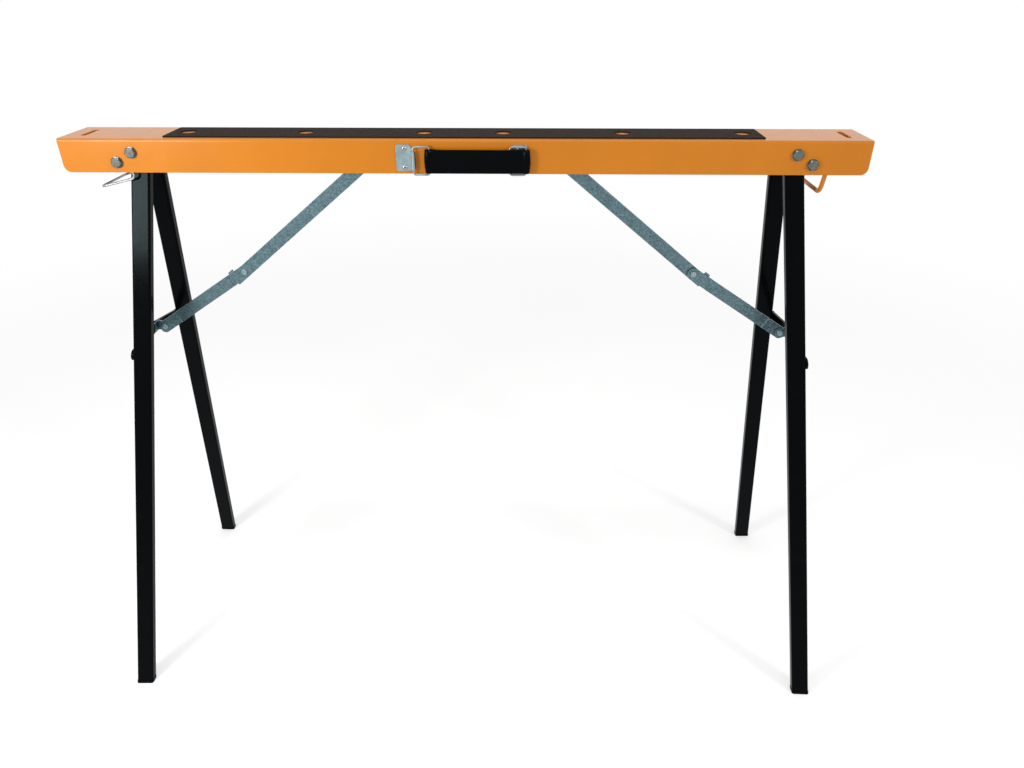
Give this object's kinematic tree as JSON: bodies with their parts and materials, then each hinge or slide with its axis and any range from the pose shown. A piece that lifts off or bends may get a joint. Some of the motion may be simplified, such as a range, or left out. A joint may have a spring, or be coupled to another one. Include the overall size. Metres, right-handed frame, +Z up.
{
  "type": "builders trestle",
  "caption": "Folding steel builders trestle with an orange channel beam, splayed black tube legs, zinc folding stays and a carry handle.",
  "frame": {"origin": "on the floor under the middle of the beam", "axes": "+X along the beam to the hook end, -Y the side with the carry handle, +Z up"},
  "size_m": [1.0316, 0.3842, 0.7895],
  "materials": {
    "orange_enamel": "gloss",
    "black_enamel": "gloss",
    "grip_coating": "matte",
    "black_rubber": "satin",
    "zinc_plate": "satin"
  },
  "bodies": {
    "beam": {"beam": "orange_enamel", "grip_strip": "grip_coating", "through_bolts": "zinc_plate", "lock_nuts": "zinc_plate", "stop_sleeves": "zinc_plate", "pivot_spacers": "zinc_plate", "stay_brackets": "zinc_plate", "stay_pins": "zinc_plate", "hook_rod": "orange_enamel", "bail_lugs": "zinc_plate", "left_handle_plate": "zinc_plate", "right_handle_plate": "zinc_plate", "handle_rivets": "zinc_plate"},
    "bail": {"wire_bail": "zinc_plate"},
    "left_ring": {"left_handle_ring": "zinc_plate"},
    "right_ring": {"right_handle_ring": "zinc_plate"},
    "strap": {"handle_strap": "black_rubber"},
    "left_hinge": {"left_pivot_sleeve": "zinc_plate"},
    "left_front_leg": {"left_front_leg": "black_enamel", "left_front_foot": "black_rubber"},
    "left_rear_leg": {"left_rear_leg": "black_enamel", "left_rear_foot": "black_rubber"},
    "left_upper_stay": {"left_upper_link": "zinc_plate", "left_knee_rivet": "zinc_plate"},
    "left_lower_stay": {"left_lower_link": "zinc_plate"},
    "left_spreader": {"left_foot_bracket": "zinc_plate", "left_foot_rivet": "zinc_plate", "left_spreader": "black_enamel"},
    "right_hinge": {"right_pivot_sleeve": "zinc_plate"},
    "right_front_leg": {"right_front_leg": "black_enamel", "right_front_foot": "black_rubber"},
    "right_rear_leg": {"right_rear_leg": "black_enamel", "right_rear_foot": "black_rubber"},
    "right_upper_stay": {"right_upper_link": "zinc_plate", "right_knee_rivet": "zinc_plate"},
    "right_lower_stay": {"right_lower_link": "zinc_plate"},
    "right_spreader": {"right_foot_bracket": "zinc_plate", "right_foot_rivet": "zinc_plate", "right_spreader": "black_enamel"}
  },
  "joints": [
    {"name": "left_fold", "type": "hinge", "parent": "beam", "child": "left_hinge", "pos_m": [-0.4105, 0, 0.7715], "axis": [0, -1, 0], "range_deg": [0, 96]},
    {"name": "left_front_splay", "type": "hinge", "parent": "left_hinge", "child": "left_front_leg", "pos_m": [-0.4105, -0.0135, 0.7715], "axis": [0.9925, 0, -0.1219], "range_deg": [0, 12.44]},
    {"name": "left_rear_splay", "type": "hinge", "parent": "left_hinge", "child": "left_rear_leg", "pos_m": [-0.4105, 0.0135, 0.7715], "axis": [0.9925, 0, -0.1219], "range_deg": [-12.44, 0]},
    {"name": "left_stay_top", "type": "hinge", "parent": "beam", "child": "left_upper_stay", "pos_m": [-0.1245, 0, 0.7545], "axis": [0, -1, 0], "range_deg": [-41.6, 0]},
    {"name": "left_stay_knee", "type": "hinge", "parent": "left_upper_stay", "child": "left_lower_stay", "pos_m": [-0.3095, 0, 0.6025], "axis": [0, -1, 0], "range_deg": [0, 184.1]},
    {"name": "left_stay_foot", "type": "hinge", "parent": "left_lower_stay", "child": "left_spreader", "pos_m": [-0.43971, 0, 0.51716], "axis": [0, -1, 0], "range_deg": [-46.5, 0]},
    {"name": "right_fold", "type": "hinge", "parent": "beam", "child": "right_hinge", "pos_m": [0.4105, 0, 0.7715], "axis": [0, 1, 0], "range_deg": [0, 96]},
    {"name": "right_front_splay", "type": "hinge", "parent": "right_hinge", "child": "right_front_leg", "pos_m": [0.4105, -0.0269, 0.7715], "axis": [-0.9925, 0, -0.1219], "range_deg": [-11.5, 0]},
    {"name": "right_rear_splay", "type": "hinge", "parent": "right_hinge", "child": "right_rear_leg", "pos_m": [0.4105, 0.0269, 0.7715], "axis": [-0.9925, 0, -0.1219], "range_deg": [0, 11.5]},
    {"name": "right_stay_top", "type": "hinge", "parent": "beam", "child": "right_upper_stay", "pos_m": [0.1245, 0, 0.7545], "axis": [0, 1, 0], "range_deg": [-41.6, 0]},
    {"name": "right_stay_knee", "type": "hinge", "parent": "right_upper_stay", "child": "right_lower_stay", "pos_m": [0.3095, 0, 0.6025], "axis": [0, 1, 0], "range_deg": [0, 184.1]},
    {"name": "right_stay_foot", "type": "hinge", "parent": "right_lower_stay", "child": "right_spreader", "pos_m": [0.43971, 0, 0.51716], "axis": [0, 1, 0], "range_deg": [-46.5, 0]},
    {"name": "bail_swing", "type": "hinge", "parent": "beam", "child": "bail", "pos_m": [-0.418, 0, 0.752], "axis": [0, -1, 0], "range_deg": [-24, 30]},
    {"name": "handle_swing", "type": "hinge", "parent": "beam", "child": "left_ring", "pos_m": [-0.0595, -0.0445, 0.7635], "axis": [0, 0, -1], "range_deg": [0, 90]},
    {"name": "right_ring_swing", "type": "hinge", "parent": "beam", "child": "right_ring", "pos_m": [0.0595, -0.0445, 0.7635], "axis": [0, 0, -1], "range_deg": [0, 90]},
    {"name": "strap_swing", "type": "hinge", "parent": "left_ring", "child": "strap", "pos_m": [-0.04, -0.0445, 0.7635], "axis": [0, 0, -1], "range_deg": [-90, 0]}
  ],
  "couplings": [
    {"joint": "left_front_splay", "follows": "left_fold", "ratio": 0.12961},
    {"joint": "left_rear_splay", "follows": "left_fold", "ratio": -0.12961},
    {"joint": "left_stay_top", "follows": "left_fold", "ratio": -0.43333},
    {"joint": "left_stay_knee", "follows": "left_fold", "ratio": 1.9177},
    {"joint": "left_stay_foot", "follows": "left_fold", "ratio": -0.48437},
    {"joint": "right_front_splay", "follows": "right_fold", "ratio": -0.11976},
    {"joint": "right_rear_splay", "follows": "right_fold", "ratio": 0.11976},
    {"joint": "right_stay_top", "follows": "right_fold", "ratio": -0.43333},
    {"joint": "right_stay_knee", "follows": "right_fold", "ratio": 1.9177},
    {"joint": "right_stay_foot", "follows": "right_fold", "ratio": -0.48437},
    {"joint": "right_ring_swing", "follows": "handle_swing", "ratio": 1},
    {"joint": "strap_swing", "follows": "handle_swing", "ratio": -1}
  ]
}
